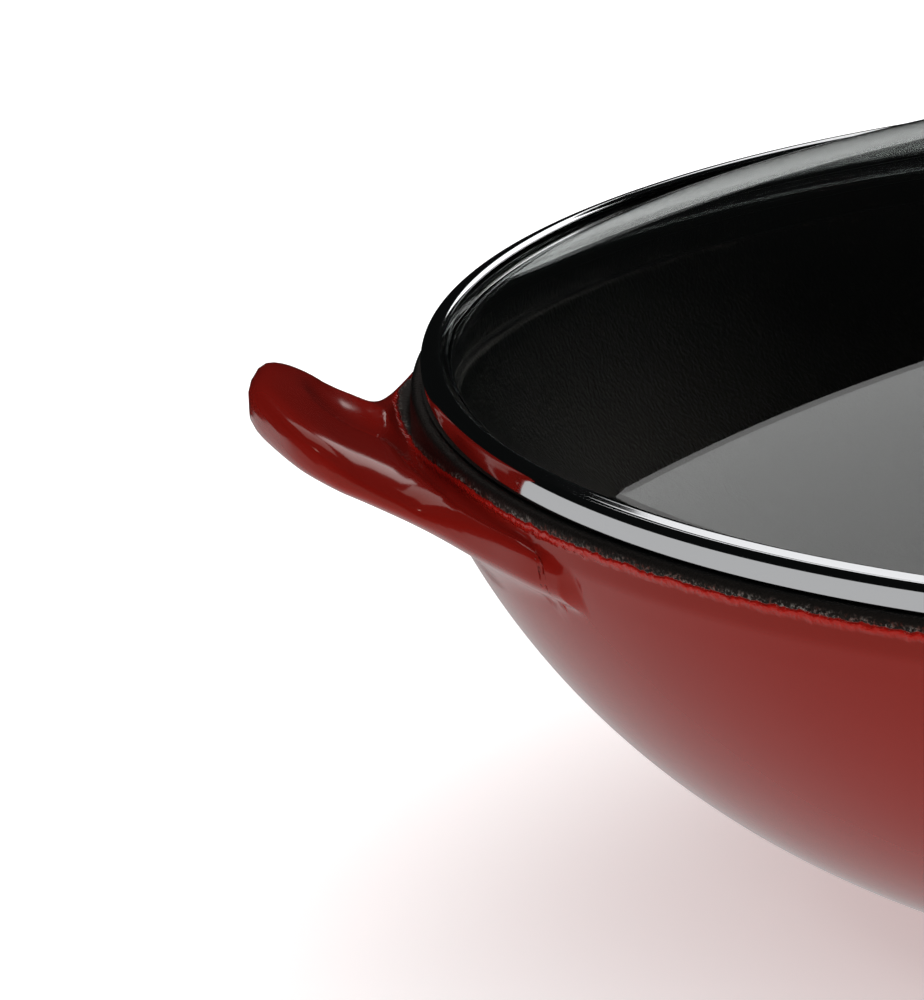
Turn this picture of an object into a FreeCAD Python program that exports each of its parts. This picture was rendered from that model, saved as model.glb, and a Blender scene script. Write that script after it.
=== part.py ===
import FreeCAD, Part

import math
import os

from FreeCAD import Vector

# Wide two-handled enamelled cast-iron pan with a steel-banded glass lid.
# Row frame: +Z up, origin at the centre of the flat foot, handles along +X and -X. Millimetres.

# ---- pan casting ----
SEAT_Z = 92.0            # top of the rim, where the lid band rests
BODY_R = 180.0           # outer radius of the rim
RIM_TOP_R = 178.8        # outer radius of the rim's flat top
RIM_ROUND_DROP = 1.6     # height of the rounded outer rim edge
COLLAR_DEPTH = 8.0       # straight collar under the rim
ARC_R = 122.5            # radius of the bowl's outer section
ARC_CENTRE_R = 64.0      # that arc's centre, from the pan's axis
ARC_CENTRE_UP = 33.0     # that arc's centre, above the rim
WALL = 4.6               # bowl wall thickness
FLOOR = 7.6              # thickness of the flat floor
FOOT_R = 64.0            # radius of the flat foot
FOOT_STEP = 1.6          # height of the foot disc under the bowl
REBATE_R = 176.2         # inner radius of the rebate that the lid skirt enters
REBATE_DEPTH = 9.0       # depth of that rebate
LEDGE_WIDTH = 2.6        # ledge between rebate and bowl
LEDGE_ROUND = 1.2        # rounding of the ledge's lip
RIM_LIP_ROUND = 0.6      # rounding of the rim's inner edge

# ---- lug handles, heights are above the rim ----
LUG_PLAN = [(166.0, 60.0), (171.0, 52.5), (176.0, 44.5), (181.0, 37.5), (187.0, 32.5), (193.0, 30.7),
            (199.0, 29.0), (204.0, 23.5), (207.0, 13.5)]
LUG_TIP_U = 209.2
LUG_TOP = [(166.0, -7.2), (176.0, -6.4), (182.0, -4.8), (190.0, -0.2), (198.0, 4.6), (205.0, 8.0), (213.0, 10.2)]
LUG_UNDER = [(166.0, -20.5), (176.0, -15.8), (186.0, -10.6), (196.0, -5.2), (205.0, -0.8), (213.0, 2.2)]
LUG_TOP_ROUND = 2.4
LUG_UNDER_ROUND = 3.4
SCOOP_U = 191.5          # shallow finger scoop in the top of the lug
SCOOP_UP = 12.6
SCOOP_R = 15.2
SCOOP_STRETCH = 2.0      # the scoop is this many times longer across the lug

# ---- lid, heights are above the rim ----
LID_GAP = 0.3            # the lid band stands this far off the rim
SHEET = 0.6              # thickness of the folded steel band
BAND_R = 178.0           # outer radius of the band
BAND_SIDE_TOP = 4.1      # top of the band's straight side
BAND_TOP = 5.9           # top of the rolled edge
BAND_ROLL_R = 176.2      # radius of the rolled edge's crown
BAND_LIP_R = 174.4       # inner end of the rolled edge
BAND_LIP_Z = 5.2
SKIRT_R = 175.5          # outer radius of the locating skirt
SKIRT_DROP = 4.4         # the skirt enters the pan this far
GLASS_EDGE_R = 176.7
GLASS_FLANGE_Z = 1.4     # underside of the glass flange
GLASS_T = 2.9
GLASS_FLANGE_R = 173.6   # the dome starts inside this radius
DOME_RISE = 34.0         # rise of the outer dome surface above the flange
KNOB_HOLE_R = 4.2
VENT_OFFSET = 92.0       # vent hole, from the axis, on the +Y side
VENT_HOLE_R = 4.0
VENT_FLANGE_R = 6.6
VENT_BORE_R = 2.6
VENT_FLANGE_T = 0.7

# ---- knob stack ----
COLLAR_PLATE_R = 19.0
COLLAR_PLATE_T = 1.2
WASHER_R = 17.0
WASHER_T = 1.0
LOWER_WASHER_R = 11.0
STEEL_WASHER_R = 9.5
STEEL_WASHER_T = 1.0
CLEARANCE_R = 3.3        # plain holes around the screw
SCREW_R = 2.95
SCREW_HEAD_R = 6.0
SCREW_HEAD_T = 2.4
SCREW_LENGTH = 17.0
SLOT_WIDTH = 1.2
SLOT_DEPTH = 1.2
INSERT_R = 5.5
INSERT_LENGTH = 13.0
INSERT_BORE_R = 3.0
INSERT_FLANGE_R = 7.0
INSERT_FLANGE_T = 1.2
KNOB_BASE_R = 16.5
KNOB_NECK_R = 11.0
KNOB_CAP_R = 23.0
KNOB_HEIGHT = 27.0
KNOB_NECK_Z = 9.0
KNOB_EDGE_Z = 18.0
KNOB_CROWN_R = 5.0       # small flat at the top of the knob

AXIS = Vector(0, 0, 1)
ORIGIN = Vector(0, 0, 0)
FULL_TURN = 360.0


def at(r, z):
    """Return the point of the section plane at radius r and height z."""
    return Vector(r, 0, z)


def line(a, b):
    """Return a straight edge between two section points."""
    return Part.makeLine(at(*a), at(*b))


def arc(a, mid, b):
    """Return an arc edge through three section points."""
    return Part.Arc(at(*a), at(*mid), at(*b)).toShape()


def spun(edges):
    """Return the solid made by turning a closed chain of section edges about the axis."""
    face = Part.Face(Part.Wire(edges))
    return Part.Solid(face.revolve(ORIGIN, AXIS, FULL_TURN).Shells[0])


def spun_polygon(points):
    """Return the solid made by turning a closed polygon about the axis."""
    closed = points + points[:1]
    return spun([line(a, b) for a, b in zip(closed[:-1], closed[1:])])


def ring(r_in, r_out, z0, z1):
    """Return a flat ring, or a disc where r_in is zero."""
    disc = Part.makeCylinder(r_out, z1 - z0, Vector(0, 0, z0), AXIS)
    if r_in == 0:
        return disc
    return disc.cut(Part.makeCylinder(r_in, z1 - z0, Vector(0, 0, z0), AXIS))


def bowl_radius(z, offset):
    """Return the bowl section's radius at height z, for a wall surface offset inwards."""
    dz = SEAT_Z + ARC_CENTRE_UP - z
    return ARC_CENTRE_R + math.sqrt((ARC_R - offset) ** 2 - dz ** 2)


def bowl_arc(z0, z1, offset):
    """Return the arc of the bowl's section between two heights."""
    zm = 0.5 * (z0 + z1)
    return arc((bowl_radius(z0, offset), z0), (bowl_radius(zm, offset), zm), (bowl_radius(z1, offset), z1))


def pan_outside():
    """Return the solid bounded by the pan's outer surface."""
    low = FOOT_STEP + 2.2
    high = SEAT_Z - COLLAR_DEPTH
    low_r = bowl_radius(low, 0)
    high_r = bowl_radius(high, 0)
    rim_z = SEAT_Z - RIM_ROUND_DROP
    return spun([
        line((0, 0), (FOOT_R, 0)),
        line((FOOT_R, 0), (FOOT_R + 0.6, FOOT_STEP)),
        line((FOOT_R + 0.6, FOOT_STEP), (low_r, low)),
        bowl_arc(low, high, 0),
        line((high_r, high), (BODY_R, rim_z)),
        arc((BODY_R, rim_z), (BODY_R - 0.35, SEAT_Z - 0.4), (RIM_TOP_R, SEAT_Z)),
        line((RIM_TOP_R, SEAT_Z), (0, SEAT_Z)),
        line((0, SEAT_Z), (0, 0)),
    ])


def pan_cavity():
    """Return the solid that fills the pan, with the lid rebate and its rounded ledge."""
    ledge_z = SEAT_Z - REBATE_DEPTH
    ledge_r = REBATE_R - LEDGE_WIDTH
    lip_z = ledge_z - LEDGE_ROUND
    join_z = ledge_z - 4.0
    join_r = bowl_radius(join_z, WALL)
    floor_r = bowl_radius(FLOOR, WALL)
    above = SEAT_Z + 1.0
    lip_r = REBATE_R + RIM_LIP_ROUND
    bend = LEDGE_ROUND * (1 - math.sqrt(0.5))
    return spun([
        line((0, above), (lip_r, above)),
        line((lip_r, above), (lip_r, SEAT_Z)),
        arc((lip_r, SEAT_Z), (REBATE_R + 0.18, SEAT_Z - 0.18), (REBATE_R, SEAT_Z - RIM_LIP_ROUND)),
        line((REBATE_R, SEAT_Z - RIM_LIP_ROUND), (REBATE_R, ledge_z)),
        line((REBATE_R, ledge_z), (ledge_r + LEDGE_ROUND, ledge_z)),
        arc((ledge_r + LEDGE_ROUND, ledge_z), (ledge_r + bend, ledge_z - bend), (ledge_r, lip_z)),
        line((ledge_r, lip_z), (join_r, join_z)),
        bowl_arc(join_z, FLOOR, WALL),
        line((floor_r, FLOOR), (0, FLOOR)),
        line((0, FLOOR), (0, above)),
    ])


def smooth(points):
    """Return one smooth edge through the points."""
    curve = Part.BSplineCurve()
    curve.interpolate(points)
    return curve.toShape()


def lug_plan():
    """Return the lug's outline seen from above, pushed through the whole height."""
    side = [Vector(u, v, 0) for u, v in LUG_PLAN]
    other = [Vector(u, -v, 0) for u, v in reversed(LUG_PLAN)]
    tip = [Vector(LUG_TIP_U, 0, 0)]
    outline = smooth(side + tip + other)
    wire = Part.Wire([outline, Part.makeLine(other[-1], side[0])])
    return Part.Face(wire).extrude(Vector(0, 0, 2 * SEAT_Z))


def lug_side():
    """Return the lug's rising side section, pushed across its whole width."""
    reach = LUG_PLAN[0][1] + 5.0
    top = [Vector(u, -reach, SEAT_Z + z) for u, z in LUG_TOP]
    under = [Vector(u, -reach, SEAT_Z + z) for u, z in LUG_UNDER]
    wire = Part.Wire([
        smooth(top),
        Part.makeLine(top[-1], under[-1]),
        smooth(list(reversed(under))),
        Part.makeLine(under[0], top[0]),
    ])
    return Part.Face(wire).extrude(Vector(0, 2 * reach, 0))


def edges_at(shape, sign):
    """Return the long outline edges on the lug's top (sign +1) or underside (sign -1)."""
    chosen = []
    for edge in shape.Edges:
        box = edge.BoundBox
        if box.XMax < LUG_TIP_U - 2.0 or box.YLength < 20.0:
            continue
        middle = edge.valueAt(0.5 * (edge.FirstParameter + edge.LastParameter))
        floor = min(LUG_UNDER, key=lambda p: abs(p[0] - middle.x))[1] + SEAT_Z
        roof = min(LUG_TOP, key=lambda p: abs(p[0] - middle.x))[1] + SEAT_Z
        is_top = abs(middle.z - roof) < abs(middle.z - floor)
        if is_top == (sign > 0):
            chosen.append(edge)
    return chosen


def lug():
    """Return one lug handle pointing along +X, rounded, with its finger scoop."""
    block = lug_plan().common(lug_side()).Solids[0]
    block = block.makeFillet(LUG_UNDER_ROUND, edges_at(block, -1))
    block = block.makeFillet(LUG_TOP_ROUND, edges_at(block, 1))
    scoop = Part.makeSphere(SCOOP_R)
    stretch = FreeCAD.Matrix()
    stretch.scale(1.0, SCOOP_STRETCH, 1.0)
    scoop = scoop.transformGeometry(stretch)
    scoop.translate(Vector(SCOOP_U, 0, SEAT_Z + SCOOP_UP))
    return block.cut(scoop)


def wok_body():
    """Return the pan: one casting with both lugs, hollowed for food and for the lid skirt."""
    one = lug()
    two = one.copy()
    two.rotate(ORIGIN, AXIS, 0.5 * FULL_TURN)
    outside = pan_outside().fuse([one, two])
    return outside.cut(pan_cavity()).removeSplitter().Solids[0]


def lid_z(up):
    """Return the row height of a lid feature given its height above the rim."""
    return SEAT_Z + up


def band_corner(inset):
    """Return the three points of the band's outer corner arc, for a surface this far inside it."""
    radius = BAND_R - BAND_ROLL_R - inset
    half = radius * math.sqrt(0.5)
    low = lid_z(BAND_SIDE_TOP)
    return (BAND_ROLL_R + radius, low), (BAND_ROLL_R + half, low + half), (BAND_ROLL_R, low + radius)


def band_lip(inset):
    """Return the three points of the band's inner lip arc, for a surface this far inside it."""
    reach = BAND_ROLL_R - BAND_LIP_R
    drop = BAND_TOP - BAND_LIP_Z
    full = (reach ** 2 + drop ** 2) / (2 * drop)
    radius = full - inset
    centre_z = lid_z(BAND_TOP) - full
    end = math.asin(reach / full)
    return tuple((BAND_ROLL_R - radius * math.sin(a), centre_z + radius * math.cos(a)) for a in (0, 0.5 * end, end))


def band():
    """Return the folded steel band: flange, side, rolled top edge and locating skirt."""
    flange = lid_z(LID_GAP)
    side = BAND_R - SHEET
    skirt_in = SKIRT_R - SHEET
    bottom = lid_z(-SKIRT_DROP)
    return spun([
        line((skirt_in, bottom), (SKIRT_R, bottom)),
        line((SKIRT_R, bottom), (SKIRT_R, flange)),
        line((SKIRT_R, flange), (BAND_R - 0.3, flange)),
        line((BAND_R - 0.3, flange), (BAND_R, flange + 0.3)),
        line((BAND_R, flange + 0.3), (BAND_R, lid_z(BAND_SIDE_TOP))),
        arc(*band_corner(0)),
        arc(*band_lip(0)),
        line(band_lip(0)[-1], band_lip(SHEET)[-1]),
        arc(*reversed(band_lip(SHEET))),
        arc(*reversed(band_corner(SHEET))),
        line((side, lid_z(BAND_SIDE_TOP)), (side, flange + SHEET)),
        line((side, flange + SHEET), (skirt_in, flange + SHEET)),
        line((skirt_in, flange + SHEET), (skirt_in, bottom)),
    ])


def dome_z(r, drop):
    """Return the row height of the dome surface at radius r, for a surface dropped by the wall."""
    base = lid_z(GLASS_FLANGE_Z + GLASS_T)
    sphere = (GLASS_FLANGE_R ** 2 + DOME_RISE ** 2) / (2 * DOME_RISE)
    return base + DOME_RISE - sphere + math.sqrt((sphere - drop) ** 2 - r ** 2)


def glass():
    """Return the domed glass with its flange, knob hole and vent hole."""
    top = lid_z(GLASS_FLANGE_Z + GLASS_T)
    under = lid_z(GLASS_FLANGE_Z)
    inner = GLASS_FLANGE_R - 1.4
    mid = 0.5 * GLASS_FLANGE_R
    shell = spun([
        line((0, dome_z(0, GLASS_T)), (0, dome_z(0, 0))),
        arc((0, dome_z(0, 0)), (mid, dome_z(mid, 0)), (GLASS_FLANGE_R, top)),
        line((GLASS_FLANGE_R, top), (GLASS_EDGE_R, top)),
        line((GLASS_EDGE_R, top), (GLASS_EDGE_R, under)),
        line((GLASS_EDGE_R, under), (inner, under)),
        line((inner, under), (inner, dome_z(inner, GLASS_T))),
        arc((inner, dome_z(inner, GLASS_T)), (mid, dome_z(mid, GLASS_T)), (0, dome_z(0, GLASS_T))),
    ])
    shell = shell.cut(ring(0, KNOB_HOLE_R, SEAT_Z, SEAT_Z + 2 * DOME_RISE))
    vent = ring(0, VENT_HOLE_R, SEAT_Z, SEAT_Z + 2 * DOME_RISE)
    vent.translate(Vector(0, VENT_OFFSET, 0))
    return shell.cut(vent).Solids[0]


def band_seal():
    """Return the clear seal between the glass edge and the band's channel."""
    low = lid_z(LID_GAP) + SHEET
    under = lid_z(GLASS_FLANGE_Z)
    outer = BAND_R - SHEET - 0.1
    inner = SKIRT_R - SHEET
    return spun_polygon([
        (inner, low), (outer, low), (outer, lid_z(BAND_SIDE_TOP)),
        (GLASS_EDGE_R, lid_z(BAND_SIDE_TOP)), (GLASS_EDGE_R, under), (inner, under),
    ])


def vent_eyelet():
    """Return the rolled steel eyelet that lines the vent hole, square to the sloping glass."""
    sphere = (GLASS_FLANGE_R ** 2 + DOME_RISE ** 2) / (2 * DOME_RISE)
    tilt = math.degrees(math.asin(VENT_OFFSET / sphere))
    upper = spun_polygon([
        (VENT_BORE_R, -GLASS_T - VENT_FLANGE_T), (VENT_FLANGE_R - 1.0, -GLASS_T - VENT_FLANGE_T),
        (VENT_FLANGE_R - 1.0, -GLASS_T - 0.15), (VENT_HOLE_R - 0.6, -GLASS_T - 0.15),
        (VENT_HOLE_R - 0.6, 0.15), (VENT_FLANGE_R, 0.15), (VENT_FLANGE_R - 0.4, VENT_FLANGE_T),
        (VENT_BORE_R + 0.4, VENT_FLANGE_T + 0.2), (VENT_BORE_R, VENT_FLANGE_T),
    ])
    upper.rotate(ORIGIN, Vector(1, 0, 0), -tilt)
    upper.translate(Vector(0, VENT_OFFSET, dome_z(VENT_OFFSET, 0)))
    return upper


def knob_stack():
    """Return the knob and the pieces that clamp it to the glass, by node name."""
    crown = dome_z(0, 0)
    soffit = dome_z(KNOB_HOLE_R, GLASS_T)
    pad_top = crown + WASHER_T
    plate_top = pad_top + COLLAR_PLATE_T
    pad_under = dome_z(WASHER_R, 0)
    pad = ring(CLEARANCE_R, WASHER_R, pad_under, pad_top)
    plate = ring(CLEARANCE_R, COLLAR_PLATE_R, pad_top, plate_top).fuse(
        ring(KNOB_BASE_R + 0.6, COLLAR_PLATE_R, plate_top, plate_top + 0.8)).removeSplitter()
    lower_top = soffit
    lower_bottom = dome_z(LOWER_WASHER_R, GLASS_T) - WASHER_T
    lower = ring(CLEARANCE_R, LOWER_WASHER_R, lower_bottom, lower_top)
    steel_bottom = lower_bottom - STEEL_WASHER_T
    steel = ring(CLEARANCE_R, STEEL_WASHER_R, steel_bottom, lower_bottom)
    head_bottom = steel_bottom - SCREW_HEAD_T
    head = spun([
        line((0, head_bottom), (SCREW_HEAD_R - 1.4, head_bottom)),
        arc((SCREW_HEAD_R - 1.4, head_bottom), (SCREW_HEAD_R - 0.4, head_bottom + 0.7),
            (SCREW_HEAD_R, steel_bottom)),
        line((SCREW_HEAD_R, steel_bottom), (0, steel_bottom)),
        line((0, steel_bottom), (0, head_bottom)),
    ])
    shank = ring(0, SCREW_R, steel_bottom, steel_bottom + SCREW_LENGTH)
    slot = Part.makeBox(3 * SCREW_HEAD_R, SLOT_WIDTH, SLOT_DEPTH,
                        Vector(-1.5 * SCREW_HEAD_R, -0.5 * SLOT_WIDTH, head_bottom))
    screw = head.fuse(shank).removeSplitter().cut(slot)
    insert = ring(INSERT_BORE_R, INSERT_R, plate_top + 0.05, plate_top + INSERT_LENGTH).fuse(
        ring(INSERT_BORE_R, INSERT_FLANGE_R, plate_top + 0.05, plate_top + INSERT_FLANGE_T)).removeSplitter()
    return {
        "seal_washer_upper": pad.cut(glass_filler()),
        "knob_plate": plate,
        "seal_washer_lower": lower.common(under_filler()),
        "flat_washer": steel,
        "knob_screw": screw,
        "knob_insert": insert,
        "knob": knob(plate_top),
    }


def glass_filler():
    """Return the solid below the dome's outer surface, used to seat the upper washer."""
    mid = 0.25 * GLASS_FLANGE_R
    edge = 0.5 * GLASS_FLANGE_R
    return spun([
        line((0, SEAT_Z), (0, dome_z(0, 0))),
        arc((0, dome_z(0, 0)), (mid, dome_z(mid, 0)), (edge, dome_z(edge, 0))),
        line((edge, dome_z(edge, 0)), (edge, SEAT_Z)),
        line((edge, SEAT_Z), (0, SEAT_Z)),
    ])


def under_filler():
    """Return the solid below the dome's inner surface, used to seat the lower washer."""
    mid = 0.25 * GLASS_FLANGE_R
    edge = 0.5 * GLASS_FLANGE_R
    return spun([
        line((0, SEAT_Z), (0, dome_z(0, GLASS_T))),
        arc((0, dome_z(0, GLASS_T)), (mid, dome_z(mid, GLASS_T)), (edge, dome_z(edge, GLASS_T))),
        line((edge, dome_z(edge, GLASS_T)), (edge, SEAT_Z)),
        line((edge, SEAT_Z), (0, SEAT_Z)),
    ])


def knob(base_z):
    """Return the moulded knob, hollowed to take its threaded insert."""
    neck_z = base_z + KNOB_NECK_Z
    edge_z = base_z + KNOB_EDGE_Z
    top_z = base_z + KNOB_HEIGHT
    floor_z = base_z + 0.1
    body = spun([
        line((0, floor_z), (KNOB_BASE_R, floor_z)),
        arc((KNOB_BASE_R, floor_z), (KNOB_NECK_R + 1.6, base_z + 0.45 * KNOB_NECK_Z), (KNOB_NECK_R, neck_z)),
        arc((KNOB_NECK_R, neck_z), (KNOB_NECK_R + 4.4, edge_z - 4.0), (KNOB_CAP_R - 1.4, edge_z - 1.2)),
        arc((KNOB_CAP_R - 1.4, edge_z - 1.2), (KNOB_CAP_R, edge_z + 0.6), (KNOB_CAP_R - 1.0, edge_z + 2.6)),
        arc((KNOB_CAP_R - 1.0, edge_z + 2.6), (0.62 * KNOB_CAP_R, top_z - 2.2), (KNOB_CROWN_R, top_z)),
        line((KNOB_CROWN_R, top_z), (0, top_z)),
        line((0, top_z), (0, floor_z)),
    ])
    socket = ring(0, INSERT_R + 0.02, base_z, base_z + INSERT_LENGTH + 3.0)
    counter = ring(0, INSERT_FLANGE_R + 0.02, base_z, base_z + INSERT_FLANGE_T + 0.02)
    return body.cut(socket).cut(counter)


def main():
    """Build every piece and write it as its own file."""
    os.makedirs("parts", exist_ok=True)
    pieces = {
        "wok_body": wok_body(),
        "lid_band": band(),
        "band_seal": band_seal(),
        "lid_glass": glass(),
        "vent_eyelet": vent_eyelet(),
    }
    pieces.update(knob_stack())
    for node, shape in pieces.items():
        solid = shape.Solids[0]
        solid.exportStep(f"parts/{node}.step")
        print(node, len(shape.Solids), solid.isValid(), round(solid.Volume), solid.BoundBox)


main()
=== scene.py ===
"""Looks of a wide enamelled cast-iron pan with two lug handles and a steel-banded glass lid.

Row frame, in metres: the centre of the flat foot is the origin, +Z is up and the lugs point along +X and -X.
Sections and sizes below are in millimetres and are turned to metres where a mesh is made.
"""

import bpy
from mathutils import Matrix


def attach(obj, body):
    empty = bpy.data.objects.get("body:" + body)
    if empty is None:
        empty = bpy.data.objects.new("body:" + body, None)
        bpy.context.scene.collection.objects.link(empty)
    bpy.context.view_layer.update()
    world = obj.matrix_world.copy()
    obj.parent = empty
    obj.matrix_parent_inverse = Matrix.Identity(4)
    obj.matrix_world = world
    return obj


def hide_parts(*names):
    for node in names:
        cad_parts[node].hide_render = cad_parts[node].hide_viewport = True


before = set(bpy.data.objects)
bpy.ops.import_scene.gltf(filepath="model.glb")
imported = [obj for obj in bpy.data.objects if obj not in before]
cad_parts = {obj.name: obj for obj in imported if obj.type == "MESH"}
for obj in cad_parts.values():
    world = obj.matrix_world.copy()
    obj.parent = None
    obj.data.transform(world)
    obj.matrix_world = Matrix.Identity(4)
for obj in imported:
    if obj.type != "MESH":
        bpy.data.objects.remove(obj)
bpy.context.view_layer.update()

import logging
import math
from dataclasses import dataclass, field
from enum import Enum
from typing import Any

import bmesh
import bpy
import numpy as np
from mathutils import Euler, Matrix, Vector

LOG = logging.getLogger("pan")
MM = 0.001
FULL_TURN = 2.0 * math.pi

# Heights of the pan's rim and of the dome's crown over it; every section is drawn from them.
SEAT_Z = 92.0
GLASS_TOP_Z = SEAT_Z + 4.3
DOME_RISE = 34.0
DOME_EDGE_R = 173.6
GLASS_T = 2.9
DOME_SPHERE_R = (DOME_EDGE_R**2 + DOME_RISE**2) / (2.0 * DOME_RISE)


class Body(Enum):
    """The two bodies of the record that pieces ride on."""

    PAN = "pan"
    LID = "lid"


class Slot(Enum):
    """The record's material slots."""

    ENAMELLED_IRON = "enamelled_iron"
    STEEL_BAND = "steel_band"
    STEEL_PLAIN = "steel_plain"
    CLEAR_GLASS = "clear_glass"
    SILICONE = "silicone"
    KNOB_RESIN = "knob_resin"
    BRASS = "brass"


def linear_colour(code: str) -> tuple[float, float, float, float]:
    """Turn an sRGB hex colour into a linear RGBA colour.

    Args:
        code: six hex digits after a hash sign.

    Returns:
        Red, green, blue and alpha, linear.
    """
    parts = [int(code[i : i + 2], 16) / 255.0 for i in (1, 3, 5)]
    linear = [p / 12.92 if p <= 0.04045 else ((p + 0.055) / 1.055) ** 2.4 for p in parts]
    return (linear[0], linear[1], linear[2], 1.0)


def per_mm(size: float) -> float:
    """Return the texture scale that gives a pattern this many millimetres across."""
    return 1.0 / (size * MM)


def dome_z(radius: float, drop: float) -> float:
    """Return the height of the glass dome at a radius, for a surface this far under the outer one."""
    centre = GLASS_TOP_Z + DOME_RISE - DOME_SPHERE_R
    return centre + math.sqrt((DOME_SPHERE_R - drop) ** 2 - radius**2)


def add_node(
    tree: bpy.types.NodeTree,
    kind: str,
    settings: dict[str, Any] | None = None,
    inputs: dict[Any, Any] | None = None,
) -> bpy.types.Node:
    """Add a node to a tree, with its settings and its inputs.

    Args:
        tree: the material or geometry tree.
        kind: the node's type name.
        settings: node properties by name.
        inputs: a value, or another node's output socket, for each input by name or place.

    Returns:
        The new node.
    """
    node = tree.nodes.new(kind)
    for name, value in (settings or {}).items():
        setattr(node, name, value)
    for key, value in (inputs or {}).items():
        if isinstance(value, bpy.types.NodeSocket):
            tree.links.new(value, node.inputs[key])
        else:
            node.inputs[key].default_value = value
    return node


@dataclass
class Ware:
    """A material while it is being made: its tree, its shader and its object coordinates."""

    name: str
    material: bpy.types.Material = field(init=False)
    tree: bpy.types.NodeTree = field(init=False)
    shader: bpy.types.Node = field(init=False)
    place: bpy.types.NodeSocket = field(init=False)

    def __post_init__(self) -> None:
        """Start an empty tree with one shader."""
        self.material = bpy.data.materials.new(self.name)
        self.material.use_nodes = True
        self.tree = self.material.node_tree
        self.tree.nodes.clear()
        self.shader = add_node(self.tree, "ShaderNodeBsdfPrincipled")
        add_node(self.tree, "ShaderNodeOutputMaterial", inputs={"Surface": self.shader.outputs["BSDF"]})
        self.place = add_node(self.tree, "ShaderNodeTexCoord").outputs["Object"]

    def relief(self, height: bpy.types.NodeSocket) -> None:
        """Give the surface a relief.

        Args:
            height: the relief's height, in millimetres.
        """
        settings = {"Strength": 1.0, "Distance": MM, "Height": height}
        bump = add_node(self.tree, "ShaderNodeBump", inputs=settings)
        self.tree.links.new(bump.outputs["Normal"], self.shader.inputs["Normal"])


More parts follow.
